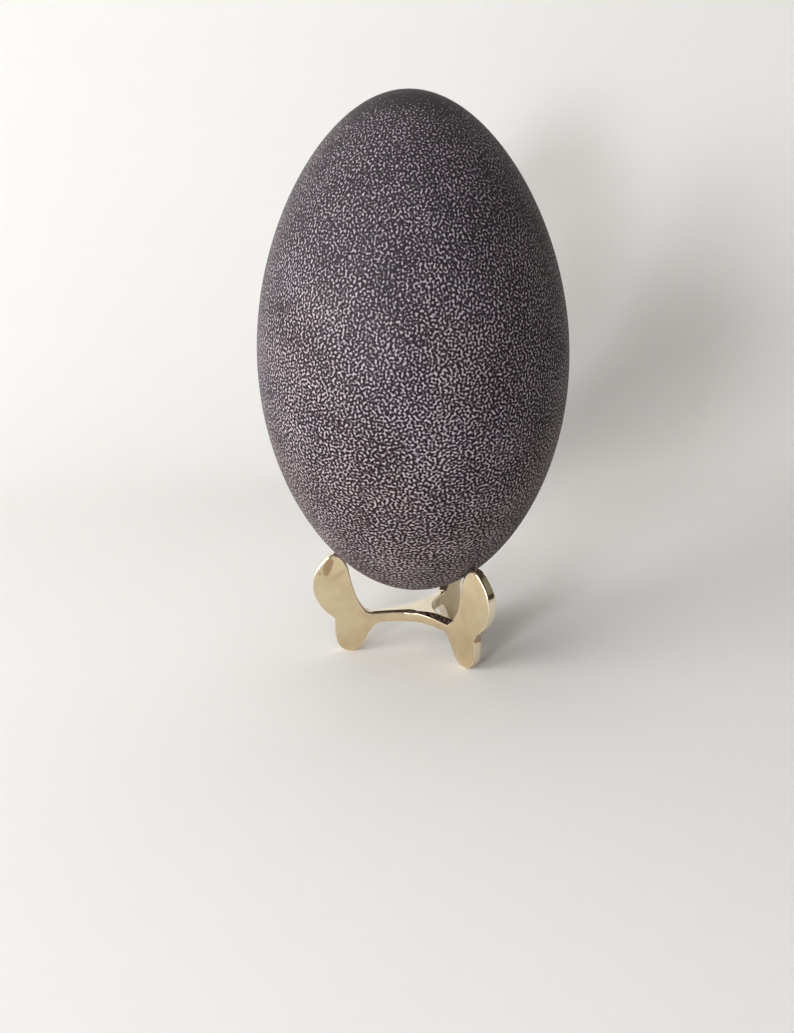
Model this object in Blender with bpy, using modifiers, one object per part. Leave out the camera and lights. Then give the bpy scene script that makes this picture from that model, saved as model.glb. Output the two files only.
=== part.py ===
"""Emu egg resting on a cast brass stand with three legs.

The egg stands upright on the axis of the stand. Each leg is a flat upright
fin: a long lobe above the web holds the egg, a short lobe below it is a foot.
Units are metres, +Z is up, and the origin is on the surface that the feet
stand on, under the axis of the egg.
"""
import math

import bmesh
import bpy
import numpy as np

MM = 0.001

# Egg
EGG_LENGTH = 138.0 * MM
EGG_WIDTH = 86.6 * MM
EGG_BLUNT_END = 0.037
EGG_TAPER = 0.076
EGG_STEPS = 64
EGG_RINGS = 44

# Stand
LEG_AZIMUTHS = {"back": 60.0, "left": 185.5, "front": 309.3}
LEG_THICKNESS = 3.0 * MM
WEB_TOP = 12.1 * MM
WEB_UNDERSIDE = 8.7 * MM
WEB_MIDDLE = (WEB_TOP + WEB_UNDERSIDE) / 2.0
# Fillet in plan from each leg to the one that follows it
HUB_FILLET_RADII = {"back": 26.0 * MM, "left": 15.0 * MM, "front": 12.0 * MM}
HUB_FILLET_STEPS = 10
EDGE_ROUNDING = 0.35 * MM
STAND_REACH = 40.0 * MM
STAR_HEIGHT = 80.0 * MM
STAND_STEPS = 96
CURVE_RESOLUTION = 4
LEVEL_HANDLE = 1.5

# Gap left between the egg and the lobes it rests on
SEAT_GAP = 0.3 * MM

# Outline of one leg, seen from the side: distance from the axis and height, in mm.
# "V" is a corner, "A" a point on a smooth stretch, and "H" one where it runs level.
LEG_OUTLINE = [
    ("V", 0.0, WEB_TOP / MM),
    ("H", 14.4, WEB_TOP / MM),
    ("A", 17.4, 14.8),
    ("A", 19.9, 21.8),
    ("A", 21.7, 28.6),
    ("A", 24.5, 31.0),
    ("A", 29.0, 28.2),
    ("A", 31.5, 21.8),
    ("A", 29.6, 15.2),
    ("V", 25.5, 10.8),
    ("A", 25.5, 5.2),
    ("A", 24.2, 1.5),
    ("V", 21.8, 0.0),
    ("V", 19.5, 0.0),
    ("A", 17.2, 2.2),
    ("A", 15.5, 5.6),
    ("H", 12.2, WEB_UNDERSIDE / MM),
    ("V", 0.0, WEB_UNDERSIDE / MM),
]


def remove_scene_objects():
    """Empty the scene that the script starts in."""
    for item in list(bpy.data.objects):
        bpy.data.objects.remove(item, do_unlink=True)


def new_collection(name):
    """Add a collection to the scene."""
    collection = bpy.data.collections.new(name)
    bpy.context.scene.collection.children.link(collection)
    return collection


def make_material(name, colour, roughness, metallic):
    """Return a Principled material."""
    material = bpy.data.materials.new(name)
    material.use_nodes = True
    shader = material.node_tree.nodes["Principled BSDF"]
    shader.inputs["Base Color"].default_value = (*colour, 1.0)
    shader.inputs["Roughness"].default_value = roughness
    shader.inputs["Metallic"].default_value = metallic
    material.diffuse_color = (*colour, 1.0)
    return material


def mesh_from_curve(curve, name):
    """Turn a curve into a mesh object, with the caps of a filled one welded."""
    source = bpy.data.objects.new(name + "_outline", curve)
    bpy.context.scene.collection.objects.link(source)
    bpy.context.view_layer.update()
    evaluated = source.evaluated_get(bpy.context.evaluated_depsgraph_get())
    mesh = bpy.data.meshes.new_from_object(evaluated)
    bpy.data.objects.remove(source, do_unlink=True)
    shape = bmesh.new()
    shape.from_mesh(mesh)
    bmesh.ops.remove_doubles(shape, verts=shape.verts, dist=0.001 * MM)
    bmesh.ops.recalc_face_normals(shape, faces=shape.faces)
    shape.to_mesh(mesh)
    shape.free()
    return bpy.data.objects.new(name, mesh)


def leg_outline(name):
    """Return the side outline of a leg, in the plane of X and Z."""
    curve = bpy.data.curves.new(name, "CURVE")
    curve.dimensions = "3D"
    curve.resolution_u = CURVE_RESOLUTION
    spline = curve.splines.new("BEZIER")
    spline.bezier_points.add(len(LEG_OUTLINE) - 1)
    handles = {"V": "VECTOR", "A": "AUTO", "H": "ALIGNED"}
    for point, (kind, radius, height) in zip(spline.bezier_points, LEG_OUTLINE):
        point.co = (radius * MM, 0.0, height * MM)
        point.handle_left_type = handles[kind]
        point.handle_right_type = handles[kind]
        if kind == "H":
            level = math.copysign(LEVEL_HANDLE, height - WEB_MIDDLE / MM)
            point.handle_left = ((radius - level) * MM, 0.0, height * MM)
            point.handle_right = ((radius + level) * MM, 0.0, height * MM)
    return mesh_from_curve(curve, name)


def direction(angle):
    """Return the unit vector at an angle in plan."""
    return np.array([math.cos(angle), math.sin(angle)])


def star_points():
    """Return the plan outline of the stand: three arms with concave fillets."""
    azimuths = [math.radians(angle) for angle in LEG_AZIMUTHS.values()]
    following = azimuths[1:] + [azimuths[0] + 2.0 * math.pi]
    half = LEG_THICKNESS / 2.0
    points = []
    for azimuth, next_azimuth, radius in zip(azimuths, following, HUB_FILLET_RADII.values()):
        across = direction(azimuth + math.pi / 2.0)
        points.append(direction(azimuth) * STAND_REACH - across * half)
        points.append(direction(azimuth) * STAND_REACH + across * half)
        half_angle = (next_azimuth - azimuth) / 2.0
        middle = azimuth + half_angle
        centre = direction(middle) * (half + radius) / math.sin(half_angle)
        sweep = math.pi / 2.0 - half_angle
        for step in range(HUB_FILLET_STEPS + 1):
            turn = sweep * (1.0 - 2.0 * step / HUB_FILLET_STEPS)
            points.append(centre + radius * direction(middle + math.pi + turn))
    return points


def star_prism(name):
    """Return the plan outline of the stand, extruded through its whole height."""
    curve = bpy.data.curves.new(name, "CURVE")
    curve.dimensions = "2D"
    curve.fill_mode = "BOTH"
    curve.extrude = STAR_HEIGHT / 2.0
    points = star_points()
    spline = curve.splines.new("POLY")
    spline.points.add(len(points) - 1)
    spline.use_cyclic_u = True
    for point, (x, y) in zip(spline.points, points):
        point.co = (x, y, 0.0, 1.0)
    return mesh_from_curve(curve, name)


def make_stand(collection, cutters):
    """Cast stand: the leg outline turned about the axis, cut to a star in plan."""
    stand = leg_outline("stand")
    collection.objects.link(stand)
    star = star_prism("star")
    cutters.objects.link(star)
    star.hide_render = True
    star.display_type = "WIRE"
    turn = stand.modifiers.new("turned", "SCREW")
    turn.axis = "Z"
    turn.angle = 2.0 * math.pi
    turn.steps = STAND_STEPS
    turn.render_steps = STAND_STEPS
    turn.use_merge_vertices = True
    turn.merge_threshold = 0.01 * MM
    cut = stand.modifiers.new("star", "BOOLEAN")
    cut.operation = "INTERSECT"
    cut.solver = "EXACT"
    cut.object = star
    rounding = stand.modifiers.new("rounded_edges", "BEVEL")
    rounding.width = EDGE_ROUNDING
    rounding.segments = 1
    rounding.limit_method = "ANGLE"
    rounding.angle_limit = math.radians(40.0)
    stand.data.materials.append(make_material("brass", (0.78, 0.66, 0.46), 0.12, 1.0))
    return stand


def egg_profile(count):
    """Return radius and height, from the egg's centre, down its side."""
    angle = np.linspace(0.0, math.pi, count)
    swell = 1.0 - EGG_BLUNT_END * np.cos(angle) - EGG_TAPER * np.cos(angle) ** 2
    radius = EGG_WIDTH / 2.0 * np.sin(angle) * swell
    height = EGG_LENGTH / 2.0 * np.cos(angle)
    radius[[0, -1]] = 0.0
    return radius, height


def seat_height(stand):
    """Return the height of the egg's centre when it rests on the lobes."""
    radius, height = egg_profile(2000)
    slope_radius = np.gradient(radius)
    slope_height = np.gradient(height)
    length = np.hypot(slope_radius, slope_height)
    radius = radius - SEAT_GAP * slope_height / length
    height = height + SEAT_GAP * slope_radius / length
    lower = height < 0.0
    below = radius[lower][::-1]
    surface = height[lower][::-1]
    outline = np.array([vertex.co for vertex in stand.data.vertices])
    return float(np.max(outline[:, 2] - np.interp(outline[:, 0], below, surface)))


def make_egg(collection, stand):
    """Whole egg, turned about its long axis, on the lobes of the stand."""
    radius, height = egg_profile(EGG_RINGS + 1)
    mesh = bpy.data.meshes.new("egg")
    points = [(x, 0.0, z) for x, z in zip(radius, height)]
    edges = [(index, index + 1) for index in range(EGG_RINGS)]
    mesh.from_pydata(points, edges, [])
    egg = bpy.data.objects.new("egg", mesh)
    collection.objects.link(egg)
    egg.location.z = seat_height(stand)
    turn = egg.modifiers.new("turned", "SCREW")
    turn.axis = "Z"
    turn.angle = 2.0 * math.pi
    turn.steps = EGG_STEPS
    turn.render_steps = EGG_STEPS
    turn.use_merge_vertices = True
    turn.merge_threshold = 0.01 * MM
    turn.use_smooth_shade = True
    mesh.materials.append(make_material("eggshell", (0.045, 0.042, 0.05), 0.45, 0.0))


def main():
    """Build the egg and its stand."""
    remove_scene_objects()
    collection = new_collection("emu_egg_on_stand")
    cutters = new_collection("cutters")
    stand = make_stand(collection, cutters)
    make_egg(collection, stand)


main()
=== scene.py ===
"""Looks of the emu egg and its brass stand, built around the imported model.

Units are metres, +Z is up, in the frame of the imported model.
"""
import math

import bmesh
import bpy
import numpy as np
from mathutils import Matrix, Vector


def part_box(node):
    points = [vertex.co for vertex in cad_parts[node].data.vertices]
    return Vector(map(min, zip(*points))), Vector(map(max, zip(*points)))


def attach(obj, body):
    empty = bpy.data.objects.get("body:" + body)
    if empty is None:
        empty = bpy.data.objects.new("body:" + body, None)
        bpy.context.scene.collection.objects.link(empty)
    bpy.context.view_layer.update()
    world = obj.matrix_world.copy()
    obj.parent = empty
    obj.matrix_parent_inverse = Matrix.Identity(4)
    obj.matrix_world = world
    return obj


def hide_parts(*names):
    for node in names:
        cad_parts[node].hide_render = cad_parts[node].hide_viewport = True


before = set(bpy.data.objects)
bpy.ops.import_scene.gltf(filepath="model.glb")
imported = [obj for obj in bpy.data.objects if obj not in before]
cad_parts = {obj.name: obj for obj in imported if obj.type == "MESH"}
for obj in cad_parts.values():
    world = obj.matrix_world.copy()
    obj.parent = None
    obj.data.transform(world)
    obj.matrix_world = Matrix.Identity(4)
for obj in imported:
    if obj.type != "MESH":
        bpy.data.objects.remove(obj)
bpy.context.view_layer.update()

MM = 0.001
WELD = 0.001 * MM

# Egg outline: as in the solid, with its centre and size read from the frame
EGG_BLUNT_END = 0.037
EGG_TAPER = 0.076
EGG_CELLS_ROUND = 112
EGG_CELLS_DOWN = 160
EGG_WIDTH_FIT = 0.9994
EGG_CAP_SHARE = EGG_CELLS_ROUND / 2.0 / (EGG_CELLS_ROUND + EGG_CELLS_DOWN)
EGG_OUTLINE_STEPS = 4000

# Shell markings: two noises, each less its own mean at four places round about.
# Height on the egg runs from -1 at its bottom to 1 at its top.
MARK_SCALE = 1300.0
MARK_OFFSETS = ((0.1, 0.2, 0.3), (0.45, 0.61, 0.17))
MARK_REACH = 0.58 * MM
MARK_SPREAD = 0.222
MARK_LOW = -2.6
MARK_HIGH = 3.0
RELIEF_DEPTH = 0.06 * MM
# Squeeze of the noises: at mid height, and its growth with the height
SQUEEZE_ACROSS = (1.18, 0.42)
SQUEEZE_UPWARDS = (1.02, 0.075)
PATCH_SCALE = 90.0
PATCH_OFFSET = (0.9, 0.2, 0.6)
PATCH_STRENGTH = 0.9
# Fall of the marks' level for each unit of height, and two more falls, each given as
# the height where it starts, the height where it ends, and the fall at each
MARK_FALL = 0.22
MARK_THINNING = (-0.1, 0.9, 0.0, 0.15)
MARK_CROWN = (0.86, 1.02, 0.0, 1.6)

# Shell colours by the strength of the marks, in the cooler and the warmer clouds
SHELL_STOPS = (0.20, 0.43, 0.53, 0.63, 0.75)
SHELL_COOL = (
    (0.0172, 0.0137, 0.0168, 1.0),
    (0.0360, 0.0294, 0.0350, 1.0),
    (0.1210, 0.1030, 0.1180, 1.0),
    (0.3420, 0.2990, 0.3310, 1.0),
    (0.4850, 0.4300, 0.4670, 1.0),
)
SHELL_WARM = (
    (0.0190, 0.0130, 0.0160, 1.0),
    (0.0388, 0.0280, 0.0333, 1.0),
    (0.1250, 0.1010, 0.1070, 1.0),
    (0.3460, 0.2945, 0.3030, 1.0),
    (0.4890, 0.4270, 0.4320, 1.0),
)
SHELL_CLOUD_SCALE = 26.0
SHELL_CLOUD_OFFSET = (0.4, 0.8, 0.1)
SHELL_CLOUD_FALL = 0.24
SHELL_CLOUD_EDGES = (0.36, 0.66)
# Two heights and the value at each: how much light the colour keeps, a painted shade that darkens it
# towards the bottom, and how much of it gives way to a lighter ground, a painted sheen towards the top
SHELL_PAINTED_SHADE = (-1.0, 0.1, 0.93, 1.0)
SHELL_PAINTED_SHEEN = (-0.4, 0.7, 0.0, 0.20)
SHELL_PAINTED_SHEEN_COLOUR = (0.110, 0.100, 0.107, 1.0)
# Two strengths of the marks and the roughness at each
SHELL_ROUGHNESS = (0.2, 0.8, 0.48, 0.62)
SHELL_GLOSS = 0.14
SHELL_BUMP = 0.12 * MM
FINE_GRAIN_SCALE = 3200.0
FINE_GRAIN_SHARE = 0.15
BUMP_STRENGTH = 0.5

# Stand outline: distance from the axis and height in mm, as in the solid
BACK, LEFT, FRONT = (math.radians(angle) for angle in (60.0, 185.5, 309.3))
LEG_THICKNESS = 3.0 * MM
WEB_TOP = 12.1
WEB_UNDERSIDE = 8.7
# Each leg, the one that follows it, and the fillet between them in plan
SECTORS = (
    (BACK, LEFT, 26.0 * MM),
    (LEFT, FRONT, 15.0 * MM),
    (FRONT, BACK + 2.0 * math.pi, 12.0 * MM),
)
HUB_FILLET_STEPS = 40
STAND_REACH = 40.0 * MM
STAR_HEIGHT = 80.0 * MM
STAND_STEPS = 180
CURVE_RESOLUTION = 8
LEVEL_HANDLE = 1.5
STAND_VOXEL = 0.24 * MM
STAND_SMOOTHING = 3
STAND_SMOOTHING_FACTOR = 0.5
STAND_CHAMFER = 0.3 * MM
STAND_CHAMFER_ANGLE = 40.0
LEG_OUTLINE = [
    ("V", 0.0, WEB_TOP),
    ("H", 14.4, WEB_TOP),
    ("A", 17.4, 14.8),
    ("A", 19.9, 21.8),
    ("A", 21.7, 28.6),
    ("A", 24.5, 31.0),
    ("A", 29.0, 28.2),
    ("A", 31.5, 21.8),
    ("A", 29.6, 15.2),
    ("V", 25.5, 10.8),
    ("A", 25.5, 5.2),
    ("A", 24.2, 1.5),
    ("V", 21.8, 0.0),
    ("V", 19.5, 0.0),
    ("A", 17.2, 2.2),
    ("A", 15.5, 5.6),
    ("H", 12.2, WEB_UNDERSIDE),
    ("V", 0.0, WEB_UNDERSIDE),
]

# Worn front edge of the web's top, in mm. Places run from the left leg (below 0) to the
# front leg. The wear reaches inwards, and down by a share of that and a little more.
WEAR_PLACES = (-24.0, -14.0, -8.0, -3.5, -1.0, 1.2, 5.0, 10.0, 16.0, 21.0, 23.5)
WEAR_INWARD = (0.9, 0.9, 1.0, 1.7, 1.6, 0.9, 1.5, 2.1, 2.6, 2.8, 2.8)
# Distances from the axis where the wear stops, along the front and the left leg
WEAR_END = 15.6
WEAR_START = 14.6
WEAR_FADE = 1.2
WEAR_LEAST_DOWN = 0.2
WEAR_SLOPE = 0.25
WEAR_OUTSIDE = 0.3
WEAR_ABOVE = 1.2

# Tarnished places on the left leg, and last a painted shade in the notch under the front leg's lobe,
# in mm: middle, half sizes, slant and turn in degrees, strength, soft edge
TARNISH_AND_PAINTED_SHADE = (
    ((-26.4, -3.9, 27.4), (1.45, 1.5, 3.3), -21.0, 0.0, 0.9, 0.25),
    ((-28.9, -3.9, 25.4), (0.45, 1.5, 0.4), 0.0, 0.0, 0.9, 0.4),
    ((-23.3, -3.9, 24.8), (3.6, 1.5, 1.3), 34.0, 0.0, 0.3, 0.9),
    ((16.15, -19.73, 9.9), (0.8, 2.0, 1.1), 0.0, 39.3, 0.95, 0.3),
)
TARNISH_AND_SHADE_EDGE = 1.25
TARNISH_AND_SHADE_RAGGED_SCALE = 900.0
TARNISH_AND_SHADE_RAGGED_SHARE = 0.5
TARNISH_AND_SHADE_COLOUR = (0.47, 0.335, 0.215, 1.0)
TARNISH_AND_SHADE_ROUGHNESS = 0.15

# Brass: colours of its flat faces in two clouds, paler colours of its rims in two clouds as a painted
# reflection of the bright floor, and lighter colour of its edges, partly rubbed brass and partly a
# painted highlight line
BRASS_CLOUD_SCALE = 140.0
BRASS_CLOUD_OFFSET = (0.2, 0.5, 0.8)
BRASS_CLOUD_EDGES = (0.35, 0.7)
BRASS_FACES = ((0.81, 0.685, 0.475, 1.0), (0.71, 0.580, 0.390, 1.0))
BRASS_RIMS_PAINTED_REFLECTION = ((0.87, 0.79, 0.64, 1.0), (0.82, 0.73, 0.57, 1.0))
BRASS_EDGE_WEAR_AND_HIGHLIGHT = (0.89, 0.80, 0.63, 1.0)
BRASS_ROUGHNESS = (0.3, 0.8, 0.08, 0.16)
EDGE_ROUGHNESS = 0.22
# How far the surface turns from the flat faces: where rims start, and edges start and end
RIM_FROM = (0.6, 0.85)
EDGE_FROM = (0.45, 0.65)
EDGE_TO = (0.78, 0.95)
WAVE_SCALE = 160.0
WAVE_OFFSET = (0.1, 0.9, 0.3)
SCRATCH_SCALE = 5200.0
SCRATCH_OFFSET = (0.3, 0.3, 0.7)
SCRATCH_STRETCH = (1.0, 1.0, 0.06)
SCRATCH_EDGES = (0.66, 0.8)
SCRATCH_DEPTH = -0.004
BRASS_BUMP = 0.16 * MM

# Camera, worked out from the photo
CAMERA_PLACE = Vector((-0.005744, -0.29988, 0.137646))
CAMERA_PITCH = 17.85
CAMERA_ROLL = 1.66
FOCAL_PIXELS = 1075.0
IMAGE_HEIGHT = 1033.0
SENSOR = 36.0
NEAREST = 0.01

# Stage: a bowl that is nearest behind the object
BOWL_RADIUS = 1.3
BOWL_CORNER = 0.28
BOWL_HEIGHT = 1.6
BOWL_BEHIND = 0.46
BOWL_CORNER_STEPS = 24
BOWL_STEPS = 96
BACKDROP_COLOUR = (0.86, 0.855, 0.845)
BACKDROP_DARKER = 0.985
BACKDROP_CLOUD_SCALE = 3.0
BACKDROP_ROUGHNESS = 0.9
BACKDROP_GLOSS = 0.2

# Lights: name, place, size, power and colour
KEY_PLACE = (-0.85, -0.42, 0.48)
LIGHTS = (
    ("key", KEY_PLACE, (0.75, 0.7), 5.8, (1.0, 0.985, 0.96)),
    ("front", (-0.42, -0.86, 0.26), (0.2, 0.3), 4.3, (0.96, 0.98, 1.0)),
    ("top", (-0.15, -0.1, 1.15), (0.9, 0.9), 2.4, (1.0, 0.99, 0.97)),
)
LIGHT_TARGET = (0.0, 0.0, 0.085)
ROOM_COLOUR = (1.0, 0.94, 0.86, 1.0)
ROOM_STRENGTH = 0.07

# Dark card on the right, with its lighter part, and the flag in front of the backdrop
CARD_PLACE = (0.52, -0.33, 0.45)
CARD_TARGET = (0.0, -0.33, 0.45)
CARD_SIZE = (1.1, 0.9, 1.0)
CARD_DARK = (0.045, 0.032, 0.024, 1.0)
CARD_LIGHTER = (0.21, 0.20, 0.165, 1.0)
# Where the lighter part starts, is full, starts to end and ends: upwards, then along Y
CARD_LIGHTER_HEIGHTS = (0.10, 0.16, 0.4, 0.5)
CARD_LIGHTER_DEPTHS = (-0.3, -0.2, 0.1, 0.2)
CARD_ROUGHNESS = 0.8
FLAG_PLACE = (0.006, 0.205, 0.102)
FLAG_SIZE = (0.048, 0.088, 1.0)
FLAG_CORNERS = 48


def link(obj):
    """Put a new object into the scene."""
    bpy.context.scene.collection.objects.link(obj)
    return obj


def applied(obj):
    """Replace an object's mesh by its evaluated one, with no modifiers left."""
    bpy.context.view_layer.update()
    evaluated = obj.evaluated_get(bpy.context.evaluated_depsgraph_get())
    mesh = bpy.data.meshes.new_from_object(evaluated)
    obj.modifiers.clear()
    obj.data = mesh
    return obj


class Tree:
    """A node tree, with short calls for the nodes that are used here."""

    def __init__(self, tree):
        self.tree = tree

    def node(self, kind, **values):
        """Add a node and set its properties."""
        made = self.tree.nodes.new(kind)
        for name, value in values.items():
            setattr(made, name, value)
        return made

    def feed(self, socket, value):
        """Link a socket, or set its value."""
        if isinstance(value, bpy.types.NodeSocket):
            self.tree.links.new(value, socket)
        else:
            socket.default_value = value

    def math(self, operation, first, second=0.0, clamp=False):
        """Return the result of a sum or product."""
        made = self.node("ShaderNodeMath", operation=operation, use_clamp=clamp)
        self.feed(made.inputs[0], first)
        self.feed(made.inputs[1], second)
        return made.outputs[0]

    def vector(self, operation, first, second=(0.0, 0.0, 0.0)):
        """Return the result of a sum or product of vectors."""
        made = self.node("ShaderNodeVectorMath", operation=operation)
        self.feed(made.inputs[0], first)
        if operation != "NORMALIZE":
            self.feed(made.inputs[1], second)
        return made.outputs[0]

    def step(self, value, low, high, first=0.0, second=1.0):
        """Return a smooth step from first to second between low and high."""
        made = self.node("ShaderNodeMapRange", interpolation_type="SMOOTHSTEP")
        for socket, item in zip(made.inputs, (value, low, high, first, second)):
            self.feed(socket, item)
        return made.outputs[0]

    def noise(self, place, scale, detail=0.0, offset=(0.0, 0.0, 0.0)):
        """Return a noise value at a place."""
        made = self.node("ShaderNodeTexNoise")
        made.inputs["Scale"].default_value = scale
        made.inputs["Detail"].default_value = detail
        self.feed(made.inputs["Vector"], self.vector("ADD", place, offset))
        return made.outputs[0]

    def ramp(self, value, stops):
        """Return the colour at a value, between stops of place and colour."""
        made = self.node("ShaderNodeValToRGB")
        elements = made.color_ramp.elements
        elements[0].position, elements[0].color = stops[0]
        elements[1].position, elements[1].color = stops[-1]
        for place, colour in stops[1:-1]:
            elements.new(place).color = colour
        self.feed(made.inputs[0], value)
        return made.outputs[0]

    def mix(self, share, first, second):
        """Return a mix of two colours."""
        made = self.node("ShaderNodeMix", data_type="RGBA")
        self.feed(made.inputs["Factor"], share)
        self.feed(made.inputs[6], first)
        self.feed(made.inputs[7], second)
        return made.outputs[2]


def surface_directions(tree, place, middle, half_length, half_width):
    """Return two unit vectors that lie along the egg's surface at a place."""
    centred = tree.vector("SUBTRACT", place, (0.0, 0.0, middle))
    squeeze = (half_width / half_length) ** 2
    outward = tree.vector("MULTIPLY", centred, (1.0, 1.0, squeeze))
    around = tree.vector("NORMALIZE", tree.vector("CROSS_PRODUCT", (0.0, 0.0, 1.0), outward))
    along = tree.vector("NORMALIZE", tree.vector("CROSS_PRODUCT", outward, around))
    return around, along


def mark_level(tree, place, directions, height):
    """Return the level of the marks at a place, and the coarse grain that it comes from.

    Taking away the mean round about leaves short winding marks of one size, with a level
    of about 0 on average and a spread of 1. The marks are narrower higher up on the egg.
    """
    around, along = directions
    squeeze = tree.node("ShaderNodeCombineXYZ")
    squeezes = (SQUEEZE_ACROSS, SQUEEZE_ACROSS, SQUEEZE_UPWARDS)
    for socket, (base, growth) in zip(squeeze.inputs, squeezes):
        tree.feed(socket, tree.math("ADD", tree.math("MULTIPLY", height, growth), base))
    slant = (tree.vector("ADD", around, along), tree.vector("SUBTRACT", around, along))
    level = 0.0
    grain = 0.0
    for offset, pair, reach in zip(MARK_OFFSETS, (directions, slant), (1.0, math.sqrt(0.5))):
        nearby = 0.0
        for way in pair:
            for side in (-MARK_REACH * reach, MARK_REACH * reach):
                spot = tree.vector("ADD", place, tree.vector("MULTIPLY", way, (side, side, side)))
                spot = tree.vector("MULTIPLY", spot, squeeze.outputs[0])
                nearby = tree.math("ADD", nearby, tree.noise(spot, MARK_SCALE, offset=offset))
        spot = tree.vector("MULTIPLY", place, squeeze.outputs[0])
        own = tree.noise(spot, MARK_SCALE, offset=offset)
        grain = tree.math("ADD", grain, own)
        mean = tree.math("MULTIPLY", nearby, 0.25)
        level = tree.math("ADD", level, tree.math("SUBTRACT", own, mean))
    return tree.math("DIVIDE", level, MARK_SPREAD), grain


def mark_strength(tree, place, middle, half_length, half_width):
    """Return how light the shell is at a place, from 0 to 1, with its coarse grain and height.

    The marks run together a little lower on the egg, and stop short of its top.
    """
    directions = surface_directions(tree, place, middle, half_length, half_width)
    split = tree.node("ShaderNodeSeparateXYZ")
    tree.feed(split.inputs[0], place)
    height = tree.math("DIVIDE", tree.math("SUBTRACT", split.outputs[2], middle), half_length)
    level, grain = mark_level(tree, place, directions, height)
    patch = tree.math("SUBTRACT", tree.noise(place, PATCH_SCALE, 1.0, PATCH_OFFSET), 0.5)
    level = tree.math("ADD", level, tree.math("MULTIPLY", patch, PATCH_STRENGTH))
    level = tree.math("SUBTRACT", level, tree.math("MULTIPLY", height, MARK_FALL))
    level = tree.math("SUBTRACT", level, tree.step(height, *MARK_THINNING))
    level = tree.math("SUBTRACT", level, tree.step(height, *MARK_CROWN))
    level = tree.math("SUBTRACT", level, MARK_LOW)
    return tree.math("DIVIDE", level, MARK_HIGH - MARK_LOW, clamp=True), grain, height


def group_with_geometry(name):
    """Return an empty geometry node group with one input and one output."""
    group = bpy.data.node_groups.new(name, "GeometryNodeTree")
    group.interface.new_socket("Geometry", in_out="INPUT", socket_type="NodeSocketGeometry")
    group.interface.new_socket("Geometry", in_out="OUTPUT", socket_type="NodeSocketGeometry")
    return Tree(group)


def gridded_box(name, round_cells, down_cells):
    """Return a box of side 2, divided into a fine grid."""
    nodes = group_with_geometry(name + "_grid")
    box = nodes.node("GeometryNodeMeshCube")
    box.inputs["Size"].default_value = (2.0, 2.0, 2.0)
    box.inputs["Vertices X"].default_value = round_cells + 1
    box.inputs["Vertices Y"].default_value = round_cells + 1
    box.inputs["Vertices Z"].default_value = down_cells + 1
    output = nodes.node("NodeGroupOutput")
    nodes.feed(output.inputs[0], box.outputs[0])
    obj = link(bpy.data.objects.new(name, bpy.data.meshes.new(name)))
    obj.modifiers.new("grid", "NODES").node_group = nodes.tree
    return applied(obj)


def egg_places(corners, middle, half_length, half_width):
    """Return where the corners of the gridded box lie on the egg.

    The box's sides become the egg's flanks and its ends the egg's caps, evenly spaced
    along the egg's side.
    """
    x, y, z = corners.T
    reach = np.maximum(np.abs(x), np.abs(y))
    safe = np.where(reach > 0.0, reach, 1.0)
    sideways = np.abs(x) >= np.abs(y)
    turn = np.where(sideways, y / safe * np.sign(x), 2.0 - x / safe * np.sign(y)) * math.pi / 4.0
    turn = np.where(sideways & (x < 0.0), turn + math.pi, turn)
    turn = np.where(~sideways & (y < 0.0), turn + math.pi, turn)
    down = EGG_CAP_SHARE + (1.0 - 2.0 * EGG_CAP_SHARE) * (1.0 - z) / 2.0
    down = np.where(z > 1.0 - 1e-6, reach * EGG_CAP_SHARE, down)
    down = np.where(z < -1.0 + 1e-6, 1.0 - reach * EGG_CAP_SHARE, down)
    angle = np.linspace(0.0, math.pi, EGG_OUTLINE_STEPS)
    swell = 1.0 - EGG_BLUNT_END * np.cos(angle) - EGG_TAPER * np.cos(angle) ** 2
    radius = half_width * np.sin(angle) * swell
    height = half_length * np.cos(angle)
    length = np.concatenate([[0.0], np.cumsum(np.hypot(np.diff(radius), np.diff(height)))])
    share = length / length[-1]
    around = np.interp(down, share, radius)
    return np.stack([
        around * np.cos(turn),
        around * np.sin(turn),
        middle + np.interp(down, share, height),
    ], axis=-1)


def make_egg():
    """Egg: the outline in a fine even mesh, with the marks sunk into its surface."""
    low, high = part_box("egg")
    middle = (low.z + high.z) / 2.0
    half_length = (high.z - low.z) / 2.0
    half_width = (high.x - low.x) / 2.0 * EGG_WIDTH_FIT
    egg = gridded_box("emu_eggshell", EGG_CELLS_ROUND, EGG_CELLS_DOWN)
    count = len(egg.data.vertices)
    corners = np.empty(count * 3)
    egg.data.vertices.foreach_get("co", corners)
    places = egg_places(corners.reshape(-1, 3), middle, half_length, half_width)
    egg.data.vertices.foreach_set("co", places.ravel())
    egg.data.update()
    nodes = group_with_geometry("sunken_marks")
    source = nodes.node("NodeGroupInput")
    place = nodes.node("GeometryNodeInputPosition").outputs[0]
    strength, _, _ = mark_strength(nodes, place, middle, half_length, half_width)
    depth = nodes.math("MULTIPLY", strength, -RELIEF_DEPTH)
    offset = nodes.node("ShaderNodeVectorMath", operation="SCALE")
    nodes.feed(offset.inputs[0], nodes.node("GeometryNodeInputNormal").outputs[0])
    nodes.feed(offset.inputs["Scale"], depth)
    moved = nodes.node("GeometryNodeSetPosition")
    nodes.feed(moved.inputs["Geometry"], source.outputs[0])
    nodes.feed(moved.inputs["Offset"], offset.outputs[0])
    nodes.feed(nodes.node("NodeGroupOutput").inputs[0], moved.outputs[0])
    egg.modifiers.new("marks", "NODES").node_group = nodes.tree
    applied(egg)
    egg.data.shade_smooth()
    egg.data.materials.clear()
    egg.data.materials.append(eggshell_material(middle, half_length, half_width))
    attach(egg, "root")
    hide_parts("egg")
    return egg


def new_material(name):
    """Return a material, its node tree and its Principled shader."""
    material = bpy.data.materials.new(name)
    material.use_nodes = True
    return material, Tree(material.node_tree), material.node_tree.nodes["Principled BSDF"]


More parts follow.
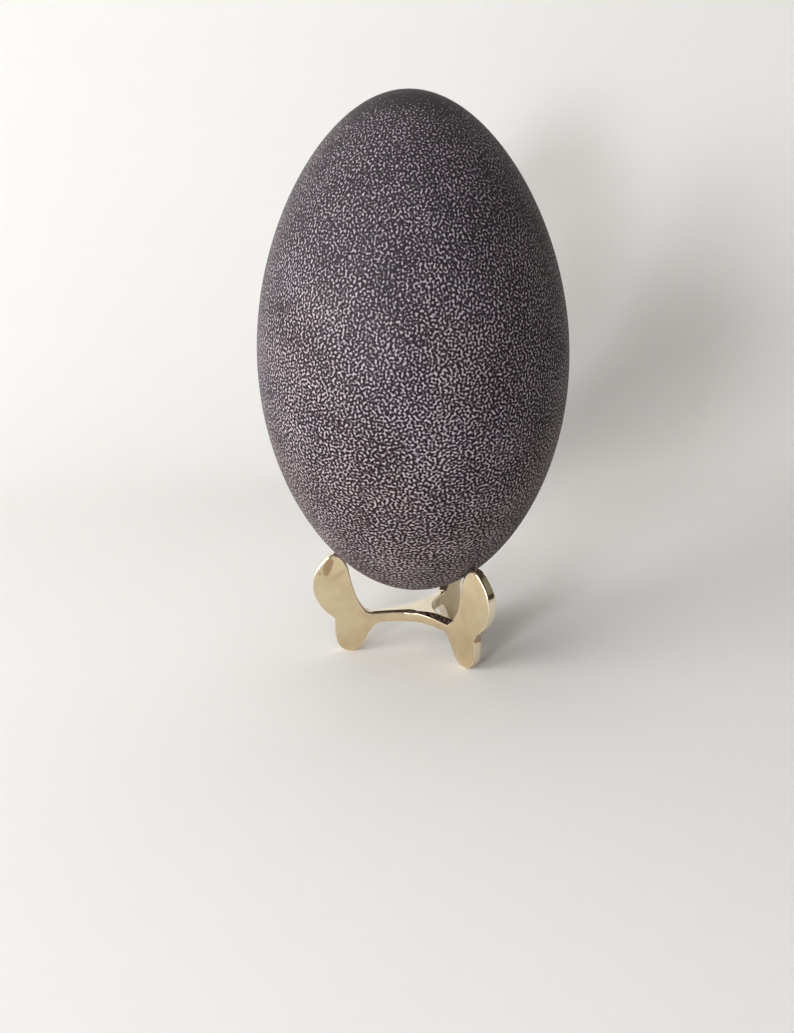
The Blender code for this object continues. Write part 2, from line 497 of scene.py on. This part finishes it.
def eggshell_material(middle, half_length, half_width):
    """Dark satin shell with pale pinkish marks between its grains, with painted shade towards the
    bottom and painted sheen towards the top.
    """
    material, tree, shader = new_material("eggshell")
    place = tree.node("ShaderNodeTexCoord").outputs["Object"]
    strength, grain, height = mark_strength(tree, place, middle, half_length, half_width)
    cloud = tree.noise(place, SHELL_CLOUD_SCALE, 2.0, SHELL_CLOUD_OFFSET)
    cloud = tree.math("SUBTRACT", cloud, tree.math("MULTIPLY", height, SHELL_CLOUD_FALL))
    tint = tree.step(cloud, *SHELL_CLOUD_EDGES)
    cool = tree.ramp(strength, tuple(zip(SHELL_STOPS, SHELL_COOL)))
    warm = tree.ramp(strength, tuple(zip(SHELL_STOPS, SHELL_WARM)))
    # Painted shade: the colour darkens towards the bottom of the egg
    painted_shade = tree.step(height, *SHELL_PAINTED_SHADE)
    # Painted sheen: the ground lightens towards the top of the egg
    painted_sheen = tree.step(height, *SHELL_PAINTED_SHEEN)
    colour = tree.mix(painted_sheen, tree.mix(tint, cool, warm), SHELL_PAINTED_SHEEN_COLOUR)
    tree.feed(shader.inputs["Base Color"], tree.mix(painted_shade, (0.0, 0.0, 0.0, 1.0), colour))
    tree.feed(shader.inputs["Roughness"], tree.step(strength, *SHELL_ROUGHNESS))
    shader.inputs["Specular IOR Level"].default_value = SHELL_GLOSS
    fine = tree.math("MULTIPLY", tree.noise(place, FINE_GRAIN_SCALE, 1.0), FINE_GRAIN_SHARE)
    bump = tree.node("ShaderNodeBump")
    bump.inputs["Strength"].default_value = BUMP_STRENGTH
    bump.inputs["Distance"].default_value = SHELL_BUMP
    tree.feed(bump.inputs["Height"], tree.math("SUBTRACT", fine, grain))
    tree.feed(shader.inputs["Normal"], bump.outputs[0])
    return material


def curve_mesh(curve, name):
    """Turn a curve into a mesh object, with the caps of a filled one welded."""
    source = link(bpy.data.objects.new(name + "_outline", curve))
    bpy.context.view_layer.update()
    mesh = bpy.data.meshes.new_from_object(source.evaluated_get(bpy.context.evaluated_depsgraph_get()))
    bpy.data.objects.remove(source, do_unlink=True)
    shape = bmesh.new()
    shape.from_mesh(mesh)
    bmesh.ops.remove_doubles(shape, verts=shape.verts, dist=WELD)
    bmesh.ops.recalc_face_normals(shape, faces=shape.faces)
    shape.to_mesh(mesh)
    shape.free()
    return link(bpy.data.objects.new(name, mesh))


def leg_outline(name):
    """Return the side outline of a leg, in the plane of X and Z."""
    curve = bpy.data.curves.new(name, "CURVE")
    curve.dimensions = "3D"
    curve.resolution_u = CURVE_RESOLUTION
    spline = curve.splines.new("BEZIER")
    spline.bezier_points.add(len(LEG_OUTLINE) - 1)
    handles = {"V": "VECTOR", "A": "AUTO", "H": "ALIGNED"}
    web_middle = (WEB_TOP + WEB_UNDERSIDE) / 2.0
    for point, (kind, radius, height) in zip(spline.bezier_points, LEG_OUTLINE):
        point.co = (radius * MM, 0.0, height * MM)
        point.handle_left_type = handles[kind]
        point.handle_right_type = handles[kind]
        if kind == "H":
            level = math.copysign(LEVEL_HANDLE, height - web_middle)
            point.handle_left = ((radius - level) * MM, 0.0, height * MM)
            point.handle_right = ((radius + level) * MM, 0.0, height * MM)
    return curve_mesh(curve, name)


def direction(angle):
    """Return the unit vector at an angle in plan."""
    return np.array([math.cos(angle), math.sin(angle)])


def fillet(azimuth, following, radius):
    """Return the centre and half sweep of the fillet in plan between two legs."""
    half_angle = (following - azimuth) / 2.0
    distance = (LEG_THICKNESS / 2.0 + radius) / math.sin(half_angle)
    return direction(azimuth + half_angle) * distance, math.pi / 2.0 - half_angle


def star_prism(name):
    """Return the plan outline of the stand: three arms with concave fillets, extruded."""
    half = LEG_THICKNESS / 2.0
    points = []
    for azimuth, following, radius in SECTORS:
        across = direction(azimuth + math.pi / 2.0)
        points.append(direction(azimuth) * STAND_REACH - across * half)
        points.append(direction(azimuth) * STAND_REACH + across * half)
        centre, sweep = fillet(azimuth, following, radius)
        inward = (azimuth + following) / 2.0 + math.pi
        for step in range(HUB_FILLET_STEPS + 1):
            turn = sweep * (1.0 - 2.0 * step / HUB_FILLET_STEPS)
            points.append(centre + radius * direction(inward + turn))
    curve = bpy.data.curves.new(name, "CURVE")
    curve.dimensions = "2D"
    curve.fill_mode = "BOTH"
    curve.extrude = STAR_HEIGHT / 2.0
    spline = curve.splines.new("POLY")
    spline.points.add(len(points) - 1)
    spline.use_cyclic_u = True
    for point, (x, y) in zip(spline.points, points):
        point.co = (x, y, 0.0, 1.0)
    return curve_mesh(curve, name)


def front_wall(points):
    """Return how deep points in plan lie behind the web's front wall, and the way it faces."""
    half = LEG_THICKNESS / 2.0
    radius = SECTORS[1][2]
    centre, sweep = fillet(LEFT, FRONT, radius)
    away = points - centre
    distance = np.linalg.norm(away, axis=1)
    depth = distance - radius
    facing = -away / distance[:, None]
    straight_from = (half + radius) * math.tan(sweep)
    for azimuth, side in ((LEFT, 1.0), (FRONT, -1.0)):
        outward = side * direction(azimuth + math.pi / 2.0)
        straight = points @ direction(azimuth) > straight_from
        depth[straight] = half - points[straight] @ outward
        facing[straight] = outward
    return depth, facing


def wear_front_edge(mesh):
    """Slope the front edge of the web's top, as filing and polishing have done."""
    corners = np.empty(len(mesh.vertices) * 3)
    mesh.vertices.foreach_get("co", corners)
    corners = corners.reshape(-1, 3)
    plan = corners[:, :2]
    along = plan @ direction(FRONT)
    place = (along - plan @ direction(LEFT)) / MM
    inward = np.interp(place, WEAR_PLACES, WEAR_INWARD) * MM
    down = WEAR_LEAST_DOWN * MM + WEAR_SLOPE * inward
    depth, facing = front_wall(plan)
    above = corners[:, 2] - (WEB_TOP * MM - down * (1.0 - depth / inward))
    near = (depth < inward) & (depth > -WEAR_OUTSIDE * MM) & (above > 0.0)
    near &= corners[:, 2] < (WEB_TOP + WEAR_ABOVE) * MM
    ended = np.clip((WEAR_END * MM - along) / (WEAR_FADE * MM), 0.0, 1.0)
    ended *= np.clip((WEAR_START * MM - plan @ direction(LEFT)) / (WEAR_FADE * MM), 0.0, 1.0)
    length = np.hypot(down, inward)
    push = np.where(near, above * inward / length, 0.0) * ended
    corners[:, 2] -= push * inward / length
    corners[:, :2] -= facing * (push * down / length)[:, None]
    mesh.vertices.foreach_set("co", corners.ravel())
    mesh.update()


def mark_rims(mesh):
    """Store how far each point's surface turns from the flat sides: 0 on them, 1 on the rims."""
    values = np.empty(len(mesh.vertices) * 3)
    mesh.vertices.foreach_get("co", values)
    plan = values.reshape(-1, 3)[:, :2].copy()
    mesh.vertices.foreach_get("normal", values)
    normals = values.reshape(-1, 3)
    legs = np.stack([direction(angle) for angle in (BACK, LEFT, FRONT)])
    outward = legs[np.argmax(plan @ legs.T, axis=1)]
    turned = np.hypot(normals[:, 2], np.sum(normals[:, :2] * outward, axis=1))
    mesh.attributes.new("rim", "FLOAT", "POINT").data.foreach_set("value", turned)


def make_stand():
    """Stand: the solid's shape made finely, with its edges softened as by polishing."""
    stand = leg_outline("cast_brass_stand")
    star = star_prism("star")
    turn = stand.modifiers.new("turned", "SCREW")
    turn.axis = "Z"
    turn.steps = STAND_STEPS
    turn.render_steps = STAND_STEPS
    turn.use_merge_vertices = True
    turn.merge_threshold = WELD
    cut = stand.modifiers.new("star", "BOOLEAN")
    cut.operation = "INTERSECT"
    cut.solver = "EXACT"
    cut.object = star
    chamfer = stand.modifiers.new("chamfer", "BEVEL")
    chamfer.width = STAND_CHAMFER
    chamfer.segments = 1
    chamfer.limit_method = "ANGLE"
    chamfer.angle_limit = math.radians(STAND_CHAMFER_ANGLE)
    chamfer.use_clamp_overlap = False
    applied(stand)
    bpy.data.objects.remove(star, do_unlink=True)
    remesh = stand.modifiers.new("even", "REMESH")
    remesh.mode = "VOXEL"
    remesh.voxel_size = STAND_VOXEL
    applied(stand)
    wear_front_edge(stand.data)
    smooth = stand.modifiers.new("softened", "SMOOTH")
    smooth.factor = STAND_SMOOTHING_FACTOR
    smooth.iterations = STAND_SMOOTHING
    applied(stand)
    stand.data.shade_smooth()
    mark_rims(stand.data)
    stand.data.materials.clear()
    stand.data.materials.append(brass_material())
    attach(stand, "root")
    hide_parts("stand")
    return stand


def tarnish_and_shade_reach(tree, place, middle, sizes, slant, turn):
    """Return how far a place is from the middle of a place of tarnish and painted shade: 1 at its
    border.
    """
    value = tree.vector("SUBTRACT", place, tuple(item * MM for item in middle))
    for axis, angle in (("Z_AXIS", turn), ("Y_AXIS", slant)):
        turned = tree.node("ShaderNodeVectorRotate", rotation_type=axis)
        tree.feed(turned.inputs["Vector"], value)
        turned.inputs["Angle"].default_value = math.radians(angle)
        value = turned.outputs[0]
    squashed = tree.vector("MULTIPLY", value, tuple(1.0 / (size * MM) for size in sizes))
    reach = tree.node("ShaderNodeVectorMath", operation="LENGTH")
    tree.feed(reach.inputs[0], squashed)
    return reach.outputs["Value"]


def brass_material():
    """Pale polished cast brass: rims paler as a painted reflection, edges lighter as rubbed brass and
    as a painted highlight, tarnish with painted shade in the front leg's notch, and fine scratches.
    """
    material, tree, shader = new_material("brass")
    place = tree.node("ShaderNodeTexCoord").outputs["Object"]
    cloud = tree.noise(place, BRASS_CLOUD_SCALE, 3.0, BRASS_CLOUD_OFFSET)
    rim = tree.node("ShaderNodeAttribute", attribute_name="rim").outputs["Fac"]
    face = tree.mix(tree.step(cloud, *BRASS_CLOUD_EDGES), *BRASS_FACES)
    # Paler rim colours: a painted reflection of the bright floor
    painted_rim_reflection = tree.mix(tree.step(cloud, *BRASS_CLOUD_EDGES), *BRASS_RIMS_PAINTED_REFLECTION)
    colour = tree.mix(tree.step(rim, *RIM_FROM), face, painted_rim_reflection)
    # Lighter edges: partly rubbed brass, partly a painted highlight line
    edge_wear_and_highlight = tree.math("MULTIPLY", tree.step(rim, *EDGE_FROM), tree.step(rim, *EDGE_TO, 1.0, 0.0))
    colour = tree.mix(edge_wear_and_highlight, colour, BRASS_EDGE_WEAR_AND_HIGHLIGHT)
    ragged = tree.noise(place, TARNISH_AND_SHADE_RAGGED_SCALE, 2.0)
    ragged = tree.math("MULTIPLY", ragged, TARNISH_AND_SHADE_RAGGED_SHARE)
    spot = 0.0
    # The last place is painted shade in the notch under the front leg's lobe; the others are tarnish
    for middle, sizes, slant, turn, strength, softness in TARNISH_AND_PAINTED_SHADE:
        reach = tree.math("ADD", tarnish_and_shade_reach(tree, place, middle, sizes, slant, turn), ragged)
        near = tree.step(reach, TARNISH_AND_SHADE_EDGE - softness, TARNISH_AND_SHADE_EDGE, strength, 0.0)
        spot = tree.math("MAXIMUM", spot, near)
    tree.feed(shader.inputs["Base Color"], tree.mix(spot, colour, TARNISH_AND_SHADE_COLOUR))
    shader.inputs["Metallic"].default_value = 1.0
    polish = tree.step(cloud, *BRASS_ROUGHNESS)
    polish = tree.math("ADD", polish, tree.math("MULTIPLY", edge_wear_and_highlight, EDGE_ROUGHNESS))
    polish = tree.math("ADD", polish, tree.math("MULTIPLY", spot, TARNISH_AND_SHADE_ROUGHNESS))
    tree.feed(shader.inputs["Roughness"], polish)
    stretched = tree.vector("MULTIPLY", place, SCRATCH_STRETCH)
    scratch = tree.noise(stretched, SCRATCH_SCALE, 1.0, SCRATCH_OFFSET)
    wave = tree.noise(place, WAVE_SCALE, 1.0, WAVE_OFFSET)
    bump = tree.node("ShaderNodeBump")
    bump.inputs["Strength"].default_value = BUMP_STRENGTH
    bump.inputs["Distance"].default_value = BRASS_BUMP
    scratches = tree.math("MULTIPLY", tree.step(scratch, *SCRATCH_EDGES), SCRATCH_DEPTH)
    tree.feed(bump.inputs["Height"], tree.math("ADD", wave, scratches))
    tree.feed(shader.inputs["Normal"], bump.outputs[0])
    return material


def backdrop_material():
    """Plain pale matt surface."""
    material, tree, shader = new_material("backdrop")
    place = tree.node("ShaderNodeTexCoord").outputs["Object"]
    tone = tree.noise(place, BACKDROP_CLOUD_SCALE, 2.0)
    darker = tuple(BACKDROP_DARKER * value for value in BACKDROP_COLOUR)
    tree.feed(shader.inputs["Base Color"], tree.mix(tone, (*BACKDROP_COLOUR, 1.0), (*darker, 1.0)))
    shader.inputs["Roughness"].default_value = BACKDROP_ROUGHNESS
    shader.inputs["Specular IOR Level"].default_value = BACKDROP_GLOSS
    return material


def make_stage():
    """Pale floor that curves up into a backdrop all round."""
    points = [(0.0, 0.0, 0.0), (BOWL_RADIUS - BOWL_CORNER, 0.0, 0.0)]
    for step in range(1, BOWL_CORNER_STEPS + 1):
        angle = math.pi / 2.0 * step / BOWL_CORNER_STEPS
        points.append((
            BOWL_RADIUS - BOWL_CORNER + BOWL_CORNER * math.sin(angle),
            0.0,
            BOWL_CORNER * (1.0 - math.cos(angle)),
        ))
    points.append((BOWL_RADIUS, 0.0, BOWL_HEIGHT))
    mesh = bpy.data.meshes.new("sweep")
    mesh.from_pydata(points, [(index, index + 1) for index in range(len(points) - 1)], [])
    sweep = link(bpy.data.objects.new("sweep", mesh))
    turn = sweep.modifiers.new("turned", "SCREW")
    turn.axis = "Z"
    turn.steps = BOWL_STEPS
    turn.render_steps = BOWL_STEPS
    turn.use_merge_vertices = True
    turn.merge_threshold = 0.01 * MM
    turn.use_smooth_shade = True
    mesh.materials.append(backdrop_material())
    sweep.location.y = BOWL_BEHIND - BOWL_RADIUS


def aim(obj, target):
    """Point an object's -Z at a place."""
    obj.rotation_mode = "QUATERNION"
    obj.rotation_quaternion = (Vector(target) - obj.location).to_track_quat("-Z", "Y")


def soft_light(name, place, target, size, power, colour):
    """Add a soft rectangular light."""
    data = bpy.data.lights.new(name, "AREA")
    data.shape = "RECTANGLE"
    data.size, data.size_y = size
    data.energy = power
    data.color = colour
    obj = link(bpy.data.objects.new(name, data))
    obj.location = place
    aim(obj, target)
    obj.visible_camera = False
    return obj


def card_material():
    """Dark card with a lighter part, which shows as grey above brown in the brass."""
    material, tree, shader = new_material("dark_card")
    split = tree.node("ShaderNodeSeparateXYZ")
    tree.feed(split.inputs[0], tree.node("ShaderNodeNewGeometry").outputs["Position"])
    share = 1.0
    for socket, (start, full, ebb, end) in (
        (split.outputs[2], CARD_LIGHTER_HEIGHTS),
        (split.outputs[1], CARD_LIGHTER_DEPTHS),
    ):
        share = tree.math("MULTIPLY", share, tree.step(socket, start, full))
        share = tree.math("MULTIPLY", share, tree.step(socket, ebb, end, 1.0, 0.0))
    tree.feed(shader.inputs["Base Color"], tree.mix(share, CARD_DARK, CARD_LIGHTER))
    shader.inputs["Roughness"].default_value = CARD_ROUGHNESS
    return material


def make_cards():
    """Dark panel on the right, which shades the egg and shows in the brass, and a small flag.

    The flag keeps the key light off the backdrop beside the egg. The camera sees neither.
    """
    bpy.ops.mesh.primitive_plane_add(size=1.0, location=CARD_PLACE)
    card = bpy.context.object
    card.name = "right_card"
    card.scale = CARD_SIZE
    aim(card, CARD_TARGET)
    bpy.ops.mesh.primitive_circle_add(
        vertices=FLAG_CORNERS, radius=1.0, fill_type="NGON", location=FLAG_PLACE)
    flag = bpy.context.object
    flag.name = "flag"
    flag.scale = FLAG_SIZE
    aim(flag, KEY_PLACE)
    flag.visible_glossy = False
    for panel in (card, flag):
        panel.visible_camera = False
        panel.data.materials.append(card_material())


def make_lights():
    """Window-like key light from the left, a weaker one in front, and weak light from above."""
    for name, place, size, power, colour in LIGHTS:
        soft_light(name, place, LIGHT_TARGET, size, power, colour)
    world = bpy.data.worlds.new("room")
    world.use_nodes = True
    background = world.node_tree.nodes["Background"]
    background.inputs["Color"].default_value = ROOM_COLOUR
    background.inputs["Strength"].default_value = ROOM_STRENGTH
    bpy.context.scene.world = world


def make_camera():
    """Camera at the place and angle that the photo was taken from."""
    pitch = math.radians(CAMERA_PITCH)
    roll = math.radians(CAMERA_ROLL)
    forward = Vector((0.0, math.cos(pitch), -math.sin(pitch)))
    right = Vector((1.0, 0.0, 0.0))
    down = Vector((0.0, -math.sin(pitch), -math.cos(pitch)))
    image_right = math.cos(roll) * right + math.sin(roll) * down
    image_down = math.cos(roll) * down - math.sin(roll) * right
    data = bpy.data.cameras.new("camera")
    data.sensor_fit = "AUTO"
    data.sensor_width = SENSOR
    data.lens = FOCAL_PIXELS * SENSOR / IMAGE_HEIGHT
    data.clip_start = NEAREST
    camera = link(bpy.data.objects.new("camera", data))
    turned = Matrix((image_right, -image_down, -forward)).transposed()
    camera.matrix_world = Matrix.Translation(CAMERA_PLACE) @ turned.to_4x4()
    bpy.context.scene.camera = camera


bpy.context.scene.view_settings.view_transform = "Standard"
bpy.context.scene.view_settings.look = "Medium High Contrast"
make_camera()
make_stage()
make_lights()
make_cards()
make_egg()
make_stand()
